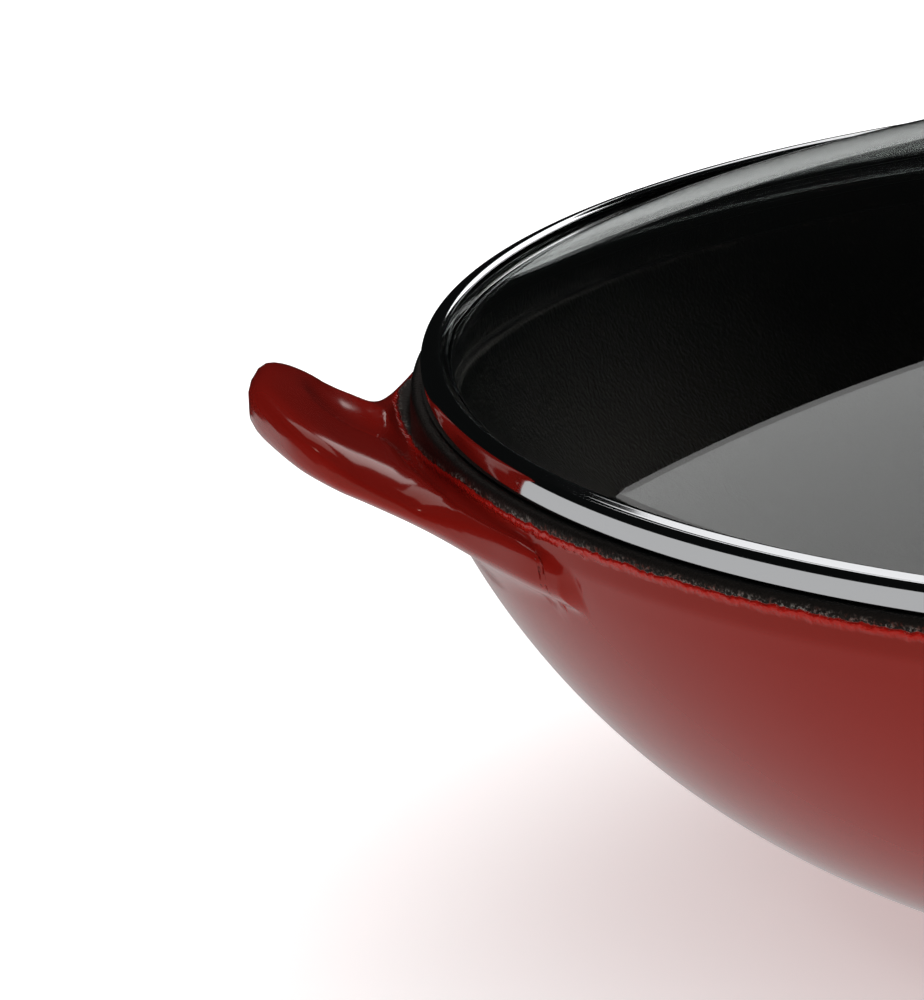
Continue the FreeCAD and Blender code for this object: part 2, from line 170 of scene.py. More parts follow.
@dataclass(frozen=True)
class TwoCoatEnamel:
    """Vitreous enamel fired on cast iron: glossy red outside, black with a fine tooth on rim and inside.

    The red coat is sprayed up to just under the rim, where it dries in a thick, ragged edge; that edge is
    coloured a brighter red, partly the thicker enamel and partly a painted highlight on its lumps.
    Grey specks on the black coat near that edge are painted sparkle of the rough enamel. Fired enamel is
    glass (IOR about 1.5), so the red reflects sharply and waves a little over the sand-cast iron.
    """

    red: str = "#72120D"
    red_pool: str = "#79150F"
    # brighter red of the thick edge: partly the thicker enamel, partly a painted highlight
    red_lip_and_highlight: str = "#96150F"
    black: str = "#0A0C0C"
    # grey of the specks painted as sparkle on the black coat near the red edge (painted highlight)
    sparkle_speck: str = "#6E6A66"
    rust: str = "#5A1C10"
    glint: str = "#FFD9C6"
    ragged_mm: float = 2.6
    ragged_reach: float = 1.5
    lump_mm: float = 1.6
    grain_mm: float = 0.8
    # size of the painted sparkle specks
    sparkle_mm: float = 0.7
    stain_mm: float = 5.0
    wave_mm: float = 24.0
    pool_mm: float = 40.0
    tooth_depth: float = 0.3
    spray_height: float = 0.14
    lip_height: float = 0.12
    lump_height: float = 0.45
    wave_depth: float = 0.09
    glass_ior: float = 1.46
    red_gloss: float = 0.11
    black_gloss: float = 0.55
    inside_gloss: float = 0.34

    def make(self) -> bpy.types.Material:
        """Return the enamel material, which reads how far under the red coat's top edge a point lies.

        Returns:
            The material.
        """
        ware = Ware("vitreous_enamel_fired_red_and_black")
        tree, place = ware.tree, ware.place
        depth = add_node(tree, "ShaderNodeAttribute", {"attribute_name": "under_red_edge"}).outputs["Fac"]
        ragged = add_node(tree, "ShaderNodeTexNoise", inputs={
            "Vector": place, "Scale": per_mm(self.ragged_mm), "Detail": 3.0, "Roughness": 0.6})
        shift = add_node(tree, "ShaderNodeMath", {"operation": "MULTIPLY_ADD"}, {
            0: ragged.outputs["Fac"], 1: self.ragged_reach, 2: -0.5 * self.ragged_reach})
        edge = add_node(tree, "ShaderNodeMath", {"operation": "ADD"}, {
            0: depth, 1: shift.outputs[0]}).outputs[0]
        red = add_node(tree, "ShaderNodeMapRange", {"interpolation_type": "SMOOTHSTEP"}, {
            "Value": edge, "From Min": -0.08, "From Max": 0.1}).outputs["Result"]
        # The thick edge of the red coat; it is coloured a brighter red, partly the thicker enamel and partly
        # a painted highlight.
        lip_in = add_node(tree, "ShaderNodeMapRange", {"interpolation_type": "SMOOTHSTEP"}, {
            "Value": edge, "From Min": -0.1, "From Max": 0.5}).outputs["Result"]
        lip_out = add_node(tree, "ShaderNodeMapRange", {"interpolation_type": "SMOOTHSTEP"}, {
            "Value": edge, "From Min": 0.7, "From Max": 1.8, "To Min": 1.0, "To Max": 0.0}).outputs["Result"]
        lip = add_node(tree, "ShaderNodeMath", {"operation": "MULTIPLY"}, {0: lip_in, 1: lip_out}).outputs[0]

        # Grey specks on the black coat near the red edge, painted as the sparkle of its rough enamel (painted
        # highlight), brown with rust in places, raised a little and thick where the two coats meet.
        sparkle_noise = add_node(tree, "ShaderNodeTexNoise", inputs={
            "Vector": place, "Scale": per_mm(self.sparkle_mm), "Detail": 2.0, "Roughness": 0.7})
        near = add_node(tree, "ShaderNodeMapRange", {"interpolation_type": "SMOOTHSTEP"}, {
            "Value": edge, "From Min": -1.3, "From Max": -0.1}).outputs["Result"]
        level = add_node(tree, "ShaderNodeMapRange", inputs={
            "Value": sparkle_noise.outputs["Fac"], "From Min": 0.5, "From Max": 0.62}).outputs["Result"]
        sparkle_speck = add_node(tree, "ShaderNodeMath", {"operation": "MULTIPLY"}, {0: near, 1: level}).outputs[0]

        stain = add_node(tree, "ShaderNodeTexNoise", inputs={
            "Vector": place, "Scale": per_mm(self.stain_mm), "Detail": 4.0, "Roughness": 0.7})
        rusty = add_node(tree, "ShaderNodeMapRange", inputs={
            "Value": stain.outputs["Fac"], "From Min": 0.45, "From Max": 0.6}).outputs["Result"]
        # Painted sparkle specks on the black coat: grey, brown with rust where the stain noise is high.
        sparkle_and_rust = add_node(tree, "ShaderNodeMix", {"data_type": "RGBA"}, {
            0: rusty, 6: linear_colour(self.sparkle_speck), 7: linear_colour(self.rust)}).outputs[2]
        black = add_node(tree, "ShaderNodeMix", {"data_type": "RGBA"}, {
            0: sparkle_speck, 6: linear_colour(self.black), 7: sparkle_and_rust}).outputs[2]
        pool = add_node(tree, "ShaderNodeTexNoise", inputs={
            "Vector": place, "Scale": per_mm(self.pool_mm), "Detail": 3.0})
        deep = add_node(tree, "ShaderNodeMix", {"data_type": "RGBA"}, {
            0: pool.outputs["Fac"], 6: linear_colour(self.red), 7: linear_colour(self.red_pool)}).outputs[2]
        # The thick edge takes the brighter red: partly the thicker enamel, partly a painted highlight.
        reds = add_node(tree, "ShaderNodeMix", {"data_type": "RGBA"}, {
            0: lip, 6: deep, 7: linear_colour(self.red_lip_and_highlight)}).outputs[2]
        colour = add_node(tree, "ShaderNodeMix", {"data_type": "RGBA"}, {
            0: red, 6: black, 7: reds}).outputs[2]
        tree.links.new(colour, ware.shader.inputs["Base Color"])

        cloud = add_node(tree, "ShaderNodeMapRange", inputs={
            "Value": pool.outputs["Fac"], "From Min": 0.3, "From Max": 0.7,
            "To Min": self.red_gloss - 0.03, "To Max": self.red_gloss + 0.04}).outputs["Result"]
        black_gloss = add_node(tree, "ShaderNodeMapRange", inputs={
            "Value": depth, "From Min": -9.5, "From Max": -5.0,
            "To Min": self.inside_gloss, "To Max": self.black_gloss}).outputs["Result"]
        gloss = add_node(tree, "ShaderNodeMix", inputs={0: red, 2: black_gloss, 3: cloud}).outputs[0]
        tree.links.new(gloss, ware.shader.inputs["Roughness"])
        ware.shader.inputs["IOR"].default_value = self.glass_ior
        ware.shader.inputs["Specular Tint"].default_value = linear_colour(self.glint)
        self.add_relief(ware, red, lip, sparkle_speck)
        return ware.material

    def add_relief(
        self, ware: Ware, red: bpy.types.NodeSocket, lip: bpy.types.NodeSocket, sparkle_speck: bpy.types.NodeSocket
    ) -> None:
        """Give the enamel its tooth, its waves and its thick lumpy edge.

        Args:
            ware: the material being made.
            red: 1 under the red coat, 0 under the black one.
            lip: 1 on the red coat's thick edge.
            sparkle_speck: 1 on the specks near that edge, whose grey colour is painted sparkle.
        """
        tree, place = ware.tree, ware.place
        grain = add_node(tree, "ShaderNodeTexNoise", inputs={
            "Vector": place, "Scale": per_mm(self.grain_mm), "Detail": 3.0, "Roughness": 0.65})
        lumps = add_node(tree, "ShaderNodeTexNoise", inputs={
            "Vector": place, "Scale": per_mm(self.lump_mm), "Detail": 2.0})
        waves = add_node(tree, "ShaderNodeTexNoise", inputs={
            "Vector": place, "Scale": per_mm(self.wave_mm), "Detail": 2.0})
        tooth = add_node(tree, "ShaderNodeMath", {"operation": "MULTIPLY"}, {
            0: grain.outputs["Fac"], 1: self.tooth_depth})
        bead = add_node(tree, "ShaderNodeMath", {"operation": "MULTIPLY_ADD"}, {
            0: lumps.outputs["Fac"], 1: self.lump_height, 2: self.lip_height}).outputs[0]
        bead = add_node(tree, "ShaderNodeMath", {"operation": "MULTIPLY"}, {0: bead, 1: lip}).outputs[0]
        swell = add_node(tree, "ShaderNodeMath", {"operation": "MULTIPLY_ADD"}, {
            0: waves.outputs["Fac"], 1: self.wave_depth, 2: bead}).outputs[0]
        spray = add_node(tree, "ShaderNodeMath", {"operation": "MULTIPLY_ADD"}, {
            0: sparkle_speck, 1: self.spray_height, 2: tooth.outputs[0]}).outputs[0]
        height = add_node(tree, "ShaderNodeMix", inputs={0: red, 2: spray, 3: swell}).outputs[0]
        ware.relief(height)


@dataclass(frozen=True)
class PolishedSteel:
    """Stainless strip, roll-formed and mirror-polished: a clean mirror with faint marks of turning."""

    colour: str = "#E8E9EB"
    gloss: float = 0.05
    mark_mm: float = 0.35
    mark_stretch: float = 0.02
    mark_depth: float = 0.0012
    cloud_mm: float = 18.0

    def make(self) -> bpy.types.Material:
        """Return the band's steel.

        Returns:
            The material.
        """
        ware = Ware("stainless_steel_mirror_polished")
        tree = ware.tree
        axes = add_node(tree, "ShaderNodeSeparateXYZ", inputs={"Vector": ware.place})
        around = add_node(tree, "ShaderNodeMath", {"operation": "MULTIPLY"}, {
            0: axes.outputs["X"], 1: self.mark_stretch})
        turned = add_node(tree, "ShaderNodeCombineXYZ", inputs={
            "X": around.outputs[0], "Z": axes.outputs["Z"]})
        marks = add_node(tree, "ShaderNodeTexNoise", inputs={
            "Vector": turned.outputs["Vector"], "Scale": per_mm(self.mark_mm), "Detail": 2.0})
        cloud = add_node(tree, "ShaderNodeTexNoise", inputs={
            "Vector": ware.place, "Scale": per_mm(self.cloud_mm)})
        gloss = add_node(tree, "ShaderNodeMapRange", inputs={
            "Value": cloud.outputs["Fac"], "To Min": self.gloss * 0.6, "To Max": self.gloss * 1.5})
        tree.links.new(gloss.outputs["Result"], ware.shader.inputs["Roughness"])
        ware.shader.inputs["Base Color"].default_value = linear_colour(self.colour)
        ware.shader.inputs["Metallic"].default_value = 1.0
        height = add_node(tree, "ShaderNodeMath", {"operation": "MULTIPLY"}, {
            0: marks.outputs["Fac"], 1: self.mark_depth})
        ware.relief(height.outputs[0])
        return ware.material


@dataclass(frozen=True)
class TurnedMetal:
    """Turned or stamped metal hardware: a satin face with fine rings from the tool."""

    name: str
    colour: str
    gloss: float
    ring_mm: float = 0.25
    ring_depth: float = 0.004

    def make(self) -> bpy.types.Material:
        """Return the metal, with rings about the object's own vertical axis.

        Returns:
            The material.
        """
        ware = Ware(self.name)
        tree = ware.tree
        axes = add_node(tree, "ShaderNodeSeparateXYZ", inputs={"Vector": ware.place})
        flat = add_node(tree, "ShaderNodeCombineXYZ", inputs={"X": axes.outputs["X"], "Y": axes.outputs["Y"]})
        radius = add_node(tree, "ShaderNodeVectorMath", {"operation": "LENGTH"}, {0: flat.outputs["Vector"]})
        rings = add_node(tree, "ShaderNodeCombineXYZ", inputs={
            "X": radius.outputs["Value"], "Z": axes.outputs["Z"]})
        marks = add_node(tree, "ShaderNodeTexNoise", inputs={
            "Vector": rings.outputs["Vector"], "Scale": per_mm(self.ring_mm), "Detail": 2.0})
        gloss = add_node(tree, "ShaderNodeMapRange", inputs={
            "Value": marks.outputs["Fac"], "To Min": self.gloss * 0.7, "To Max": self.gloss * 1.3})
        tree.links.new(gloss.outputs["Result"], ware.shader.inputs["Roughness"])
        ware.shader.inputs["Base Color"].default_value = linear_colour(self.colour)
        ware.shader.inputs["Metallic"].default_value = 1.0
        height = add_node(tree, "ShaderNodeMath", {"operation": "MULTIPLY"}, {
            0: marks.outputs["Fac"], 1: self.ring_depth})
        ware.relief(height.outputs[0])
        return ware.material


@dataclass(frozen=True)
class TemperedGlass:
    """Pressed and tempered soda-lime glass: clear, sharp reflections and a very faint roller wave."""

    tint: str = "#F7FBF9"
    wave_mm: float = 45.0
    wave_depth: float = 0.03
    glass_ior: float = 1.52

    def make(self) -> bpy.types.Material:
        """Return the glass.

        Returns:
            The material.
        """
        ware = Ware("soda_lime_glass_tempered")
        ware.shader.inputs["Base Color"].default_value = linear_colour(self.tint)
        ware.shader.inputs["Roughness"].default_value = 0.0
        ware.shader.inputs["IOR"].default_value = self.glass_ior
        ware.shader.inputs["Transmission Weight"].default_value = 1.0
        wave = add_node(ware.tree, "ShaderNodeTexNoise", inputs={
            "Vector": ware.place, "Scale": per_mm(self.wave_mm), "Detail": 0.0})
        height = add_node(ware.tree, "ShaderNodeMath", {"operation": "MULTIPLY"}, {
            0: wave.outputs["Fac"], 1: self.wave_depth})
        ware.relief(height.outputs[0])
        return ware.material


@dataclass(frozen=True)
class MouldedPolymer:
    """Moulded rubber or resin: an even skin with a faint mould texture."""

    name: str
    colour: str
    shade: str
    gloss: float
    texture_mm: float
    texture_depth: float
    tone_mm: float = 9.0

    def make(self) -> bpy.types.Material:
        """Return the polymer.

        Returns:
            The material.
        """
        ware = Ware(self.name)
        tree = ware.tree
        skin = add_node(tree, "ShaderNodeTexNoise", inputs={
            "Vector": ware.place, "Scale": per_mm(self.texture_mm), "Detail": 3.0})
        tone = add_node(tree, "ShaderNodeTexNoise", inputs={
            "Vector": ware.place, "Scale": per_mm(self.tone_mm)})
        colour = add_node(tree, "ShaderNodeMix", {"data_type": "RGBA"}, {
            0: tone.outputs["Fac"], 6: linear_colour(self.colour), 7: linear_colour(self.shade)})
        gloss = add_node(tree, "ShaderNodeMapRange", inputs={
            "Value": skin.outputs["Fac"], "To Min": self.gloss * 0.8, "To Max": self.gloss * 1.25})
        height = add_node(tree, "ShaderNodeMath", {"operation": "MULTIPLY"}, {
            0: skin.outputs["Fac"], 1: self.texture_depth})
        tree.links.new(colour.outputs[2], ware.shader.inputs["Base Color"])
        tree.links.new(gloss.outputs["Result"], ware.shader.inputs["Roughness"])
        ware.relief(height.outputs[0])
        return ware.material


@dataclass(frozen=True)
class PaleFloor:
    """A matt white studio floor with a barely visible paper tooth."""

    colour: str = "#FBFBFB"
    shade: str = "#F9F9F9"
    tooth_mm: float = 3.0
    glow: float = 0.45

    def make(self) -> bpy.types.Material:
        """Return the floor's paint.

        Returns:
            The material.
        """
        ware = Ware("paper_backdrop_matt_white")
        tooth = add_node(ware.tree, "ShaderNodeTexNoise", inputs={
            "Vector": ware.place, "Scale": per_mm(self.tooth_mm), "Detail": 2.0})
        tone = add_node(ware.tree, "ShaderNodeMix", {"data_type": "RGBA"}, {
            0: tooth.outputs["Fac"], 6: linear_colour(self.colour), 7: linear_colour(self.shade)})
        ware.tree.links.new(tone.outputs[2], ware.shader.inputs["Base Color"])
        ware.shader.inputs["Roughness"].default_value = 0.9
        ware.shader.inputs["Specular IOR Level"].default_value = 0.1
        ware.shader.inputs["Emission Color"].default_value = linear_colour(self.colour)
        ware.shader.inputs["Emission Strength"].default_value = self.glow
        return ware.material


@dataclass
class Section:
    """A section through the axis, drawn as a chain of radius and height points in millimetres."""

    points: list[tuple[float, float]] = field(default_factory=list)

    def to(self, radius: float, height: float) -> "Section":
        """Add one straight run to a point."""
        self.points.append((radius, height))
        return self

    def round(
        self, centre: tuple[float, float], radius: float, start: float, stop: float, steps: int
    ) -> "Section":
        """Add an arc.

        Args:
            centre: the arc's centre.
            radius: its radius.
            start: its first angle in degrees, from the outward direction.
            stop: its last angle in degrees.
            steps: how many runs it is made of.

        Returns:
            This section.
        """
        for angle in np.radians(np.linspace(start, stop, steps + 1)):
            self.to(centre[0] + radius * math.cos(angle), centre[1] + radius * math.sin(angle))
        return self

    def bend(self, middle: tuple[float, float], end: tuple[float, float], steps: int) -> "Section":
        """Add a smooth bend from the last point, through a middle point.

        Args:
            middle: the point halfway along.
            end: the last point.
            steps: how many runs it is made of.

        Returns:
            This section.
        """
        start = np.array(self.points[-1])
        pull = 2.0 * np.array(middle) - 0.5 * (start + np.array(end))
        for t in np.linspace(0.0, 1.0, steps + 1)[1:]:
            point = (1 - t) ** 2 * start + 2 * t * (1 - t) * pull + t**2 * np.array(end)
            self.to(float(point[0]), float(point[1]))
        return self

    def dome(self, first: float, last: float, drop: float, steps: int) -> "Section":
        """Add a run along the glass dome between two radii.

        Args:
            first: the radius it starts from.
            last: the radius it ends at.
            drop: how far under the dome's outer surface it runs.
            steps: how many runs it is made of.

        Returns:
            This section.
        """
        for radius in np.linspace(first, last, steps + 1):
            self.to(float(radius), dome_z(float(radius), drop))
        return self


def finished_piece(name: str, mesh: bpy.types.Mesh, body: Body, slot: Slot, *nodes: str) -> bpy.types.Object:
    """Put a mesh in the scene as a piece that stands for CAD nodes.

    Args:
        name: the piece's name.
        mesh: its mesh, in metres in the row frame.
        body: the body it rides on.
        slot: the record's slot for the piece's finish; not used.
        nodes: the CAD nodes that it stands for.

    Returns:
        The piece.
    """
    shell = bmesh.new()
    shell.from_mesh(mesh)
    bmesh.ops.recalc_face_normals(shell, faces=shell.faces)
    shell.to_mesh(mesh)
    shell.free()
    mesh.shade_smooth()
    piece = bpy.data.objects.new(name, mesh)
    bpy.context.scene.collection.objects.link(piece)
    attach(piece, body.value)
    if nodes:
        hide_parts(*nodes)
    LOG.info("%s: %d faces on %s", name, len(mesh.polygons), body.value)
    return piece


@dataclass
class Lathe:
    """Turns closed sections about the pan's axis with one geometry tree."""

    seam_mm: float = 0.002
    tree: bpy.types.NodeTree = field(init=False)

    def __post_init__(self) -> None:
        """Build the turning tree once, with named inputs."""
        tree = bpy.data.node_groups.new("turned_section", "GeometryNodeTree")
        self.tree = tree
        for name, kind in (("Section", "Geometry"), ("Steps Round", "Int"), ("Seam Gap", "Float"),
                           ("Finish", "Material")):
            tree.interface.new_socket(name=name, in_out="INPUT", socket_type="NodeSocket" + kind)
        tree.interface.new_socket(name="Solid", in_out="OUTPUT", socket_type="NodeSocketGeometry")
        given = add_node(tree, "NodeGroupInput").outputs
        rows = add_node(tree, "GeometryNodeAttributeDomainSize", inputs={"Geometry": given["Section"]})
        wide = add_node(tree, "ShaderNodeMath", {"operation": "ADD"}, {
            0: given["Steps Round"], 1: 1.0}).outputs[0]
        grid = add_node(tree, "GeometryNodeMeshGrid", inputs={
            "Vertices X": rows.outputs["Point Count"], "Vertices Y": wide})
        index = add_node(tree, "GeometryNodeInputIndex").outputs["Index"]
        middle = add_node(tree, "ShaderNodeMath", {"operation": "ADD"}, {0: index, 1: 0.5}).outputs[0]
        share = add_node(tree, "ShaderNodeMath", {"operation": "DIVIDE"}, {0: middle, 1: wide}).outputs[0]
        row = add_node(tree, "ShaderNodeMath", {"operation": "FLOOR"}, {0: share}).outputs[0]
        before = add_node(tree, "ShaderNodeMath", {"operation": "MULTIPLY"}, {0: row, 1: wide}).outputs[0]
        column = add_node(tree, "ShaderNodeMath", {"operation": "SUBTRACT"}, {0: index, 1: before}).outputs[0]
        turn = add_node(tree, "ShaderNodeMath", {"operation": "DIVIDE"}, {
            0: column, 1: given["Steps Round"]}).outputs[0]
        angle = add_node(tree, "ShaderNodeMath", {"operation": "MULTIPLY"}, {
            0: turn, 1: FULL_TURN}).outputs[0]
        where = add_node(tree, "GeometryNodeInputPosition").outputs["Position"]
        point = add_node(tree, "GeometryNodeSampleIndex", {"data_type": "FLOAT_VECTOR"}, {
            "Geometry": given["Section"], "Value": where, "Index": row})
        drawn = add_node(tree, "ShaderNodeSeparateXYZ", inputs={"Vector": point.outputs["Value"]})
        along = add_node(tree, "ShaderNodeMath", {"operation": "COSINE"}, {0: angle}).outputs[0]
        aside = add_node(tree, "ShaderNodeMath", {"operation": "SINE"}, {0: angle}).outputs[0]
        x = add_node(tree, "ShaderNodeMath", {"operation": "MULTIPLY"}, {0: along, 1: drawn.outputs["X"]})
        y = add_node(tree, "ShaderNodeMath", {"operation": "MULTIPLY"}, {0: aside, 1: drawn.outputs["X"]})
        turned = add_node(tree, "ShaderNodeCombineXYZ", inputs={
            "X": x.outputs[0], "Y": y.outputs[0], "Z": drawn.outputs["Z"]})
        moved = add_node(tree, "GeometryNodeSetPosition", inputs={
            "Geometry": grid.outputs["Mesh"], "Position": turned.outputs["Vector"]})
        closed = add_node(tree, "GeometryNodeMergeByDistance", inputs={
            "Geometry": moved.outputs["Geometry"], "Distance": given["Seam Gap"]})
        real = add_node(tree, "GeometryNodeRealizeInstances", inputs={"Geometry": closed.outputs["Geometry"]})
        dressed = add_node(tree, "GeometryNodeSetMaterial", inputs={
            "Geometry": real.outputs["Geometry"], "Material": given["Finish"]})
        add_node(tree, "NodeGroupOutput", inputs={"Solid": dressed.outputs["Geometry"]})

    def turn(self, section: Section, steps: int, material: bpy.types.Material) -> bpy.types.Mesh:
        """Turn a section into a closed solid.

        Args:
            section: the section, whose chain starts and ends at the same point or on the axis.
            steps: how many steps the full turn has.
            material: the finish of the whole piece.

        Returns:
            The plain mesh, in metres.
        """
        drawing = bpy.data.meshes.new("section")
        drawing.from_pydata([(r * MM, 0.0, z * MM) for r, z in section.points], [], [])
        blank = bpy.data.objects.new("blank", drawing)
        bpy.context.scene.collection.objects.link(blank)
        modifier = blank.modifiers.new("turning", "NODES")
        modifier.node_group = self.tree
        values = {"Steps Round": steps, "Seam Gap": self.seam_mm * MM, "Finish": material}
        for item in self.tree.interface.items_tree:
            if item.name in values:
                modifier[item.identifier] = values[item.name]
        graph = bpy.context.evaluated_depsgraph_get()
        solid = bpy.data.meshes.new_from_object(blank.evaluated_get(graph), depsgraph=graph)
        blank.modifiers.remove(modifier)
        bpy.data.objects.remove(blank)
        return solid


@dataclass
class Lug:
    """The shape of one lug handle, pointing along +X; heights are over the rim, in millimetres."""

    plan: tuple[tuple[float, float], ...] = (
        (163.0, 75.0), (167.0, 68.0), (172.0, 59.0), (176.0, 49.5), (180.0, 41.0), (184.0, 34.5),
        (188.0, 31.5), (193.0, 30.6), (199.0, 29.5), (204.0, 23.5), (207.0, 13.5), (209.1, 0.0),
        (207.0, -13.5))
    crest: tuple[tuple[float, float], ...] = (
        (150.0, -7.5), (160.0, -7.0), (166.0, -6.5), (171.0, -5.0), (176.0, -4.2), (180.0, -3.8),
        (184.0, -2.8), (188.0, -0.6), (192.0, 1.6), (196.0, 3.9), (200.0, 6.2), (205.0, 8.4),
        (209.0, 9.6), (213.0, 10.4), (220.0, 11.0))
    under: tuple[tuple[float, float], ...] = (
        (150.0, -29.0), (156.0, -26.0), (166.0, -20.5), (176.0, -15.8), (186.0, -10.6), (196.0, -5.2),
        (205.0, -0.8), (213.0, 2.2), (220.0, 4.8))
    under_rise: float = 5.5
    root_half: float = 62.0
    valley_width: float = 5.8
    valley_width_at_root: float = 0.3
    valley_depth: float = 4.2
    shoulder_reach: tuple[float, ...] = (172.0, 178.0, 186.0, 194.0, 203.0)
    shoulder_widths: tuple[float, ...] = (4.0, 7.0, 12.0, 10.0, 4.5)
    shoulder_drops: tuple[float, ...] = (1.5, 2.6, 4.2, 4.0, 2.8)
    under_round: float = 2.2
    recess_centre: tuple[float, float] = (190.5, -11.0)
    recess_half: tuple[float, float] = (7.5, 16.0)
    recess_depth: float = 2.8
    recess_fullness: float = 0.8
    steepest_slope: float = 2.0
    slope_step: float = 0.05
    body_r: float = 180.0
    root_radius: float = 180.2

    def smooth_line(self, points: tuple[tuple[float, float], ...], steps: int) -> np.ndarray:
        """Return a smooth line through all but the first and last point.

        Args:
            points: the points, with one guide point at each end.
            steps: how many runs lie between two points.

        Returns:
            An array of points.
        """
        line = []
        p = np.array(points)
        for a, b, c, d in zip(p[:-3], p[1:-2], p[2:-1], p[3:]):
            for t in np.linspace(0.0, 1.0, steps, endpoint=False):
                line.append(0.5 * (2 * b + (c - a) * t + (2 * a - 5 * b + 4 * c - d) * t**2
                                   + (3 * b - a - 3 * c + d) * t**3))
        line.append(p[-2])
        return np.array(line)

    def outline(self) -> np.ndarray:
        """Return half of the lug's outline, from its root to its tip."""
        return self.smooth_line(self.plan, 6)

    def line_height(self, reach: np.ndarray, guide: tuple[tuple[float, float], ...]) -> np.ndarray:
        """Return the height of a guide line at each distance from the axis."""
        line = self.smooth_line(guide, 8)
        return np.interp(reach, line[:, 0], line[:, 1])

    def top_height(self, reach: np.ndarray, aside: np.ndarray) -> np.ndarray:
        """Return the height of the lug's top: its crest, less the valley along the rim and the finger recess.

        Args:
            reach: distances along the lug's own direction, from the axis.
            aside: distances to its side.

        Returns:
            The heights over the rim.
        """
        along = np.minimum(np.abs(np.arctan2(aside, reach)) * self.body_r / self.root_half, 1.0)
        width = self.valley_width * (1.0 - along) + self.valley_width_at_root
        in_valley = np.clip((np.hypot(reach, aside) - self.body_r) / width, 0.0, 1.0)
        valley = self.valley_depth * (1.0 - along) * (1.0 - in_valley**2)
        dish = ((reach - self.recess_centre[0]) / self.recess_half[0]) ** 2
        dish = dish + ((aside - self.recess_centre[1]) / self.recess_half[1]) ** 2
        recess = self.recess_depth * np.clip(1.0 - dish, 0.0, 1.0) ** self.recess_fullness
        return self.line_height(reach, self.crest) - valley - recess

    def under_height(self, reach: np.ndarray, aside: np.ndarray) -> np.ndarray:
        """Return the height of the lug's underside, which rises towards its sides."""
        return self.line_height(reach, self.under) + self.under_rise * (aside / self.root_half) ** 2

    def distance(self, points: np.ndarray) -> np.ndarray:
        """Return how far each point lies outside the lug, in millimetres.

        Args:
            points: rows of x, y and z, z being over the rim.

        Returns:
            One distance each, negative inside.
        """
        reach, across, up = points[:, 0], np.abs(points[:, 1]), points[:, 2]
        line = self.outline()
        start, run = line[:-1], np.diff(line, axis=0)
        rel_u = reach[:, None] - start[None, :, 0]
        rel_v = across[:, None] - start[None, :, 1]
        share = np.clip((rel_u * run[:, 0] + rel_v * run[:, 1]) / (run**2).sum(1), 0.0, 1.0)
        gap = np.sqrt(((rel_u - share * run[:, 0]) ** 2 + (rel_v - share * run[:, 1]) ** 2).min(1))
        inside = (across < np.interp(reach, line[:, 0], line[:, 1])) & (reach < line[-1, 0])
        plan = np.where(inside, -gap, gap)
        aside, step = points[:, 1], self.slope_step
        top, under = self.top_height(reach, aside), self.under_height(reach, aside)
        outward_slope = self.top_height(reach + step, aside) - top
        sideways_slope = self.top_height(reach, aside + step) - top
        top_slope = np.hypot(outward_slope, sideways_slope)
        below_slope = self.under_height(reach + step, aside) - under
        over = (up - top) / np.hypot(1.0, np.minimum(top_slope / step, self.steepest_slope))
        below = (under - up) / np.hypot(1.0, below_slope / step)
        width = np.interp(reach, self.shoulder_reach, self.shoulder_widths)
        drop = np.interp(reach, self.shoulder_reach, self.shoulder_drops)
        shoulder = rounded_cut(over, plan * drop / width, drop)
        return rounded_cut(np.maximum(shoulder, plan), below, self.under_round)


def rounded_cut(a: np.ndarray, b: np.ndarray, radius: float) -> np.ndarray:
    """Return the distance to what two shapes share, with the edge between them rounded."""
    corner = np.hypot(np.maximum(a + radius, 0.0), np.maximum(b + radius, 0.0))
    return np.minimum(np.maximum(a, b), -radius) + corner


def rounded_join(a: np.ndarray, b: np.ndarray, radius: np.ndarray) -> np.ndarray:
    """Return the distance to two shapes joined with a fillet between them."""
    corner = np.hypot(np.maximum(radius - a, 0.0), np.maximum(radius - b, 0.0))
    return np.maximum(np.minimum(a, b), radius) - corner


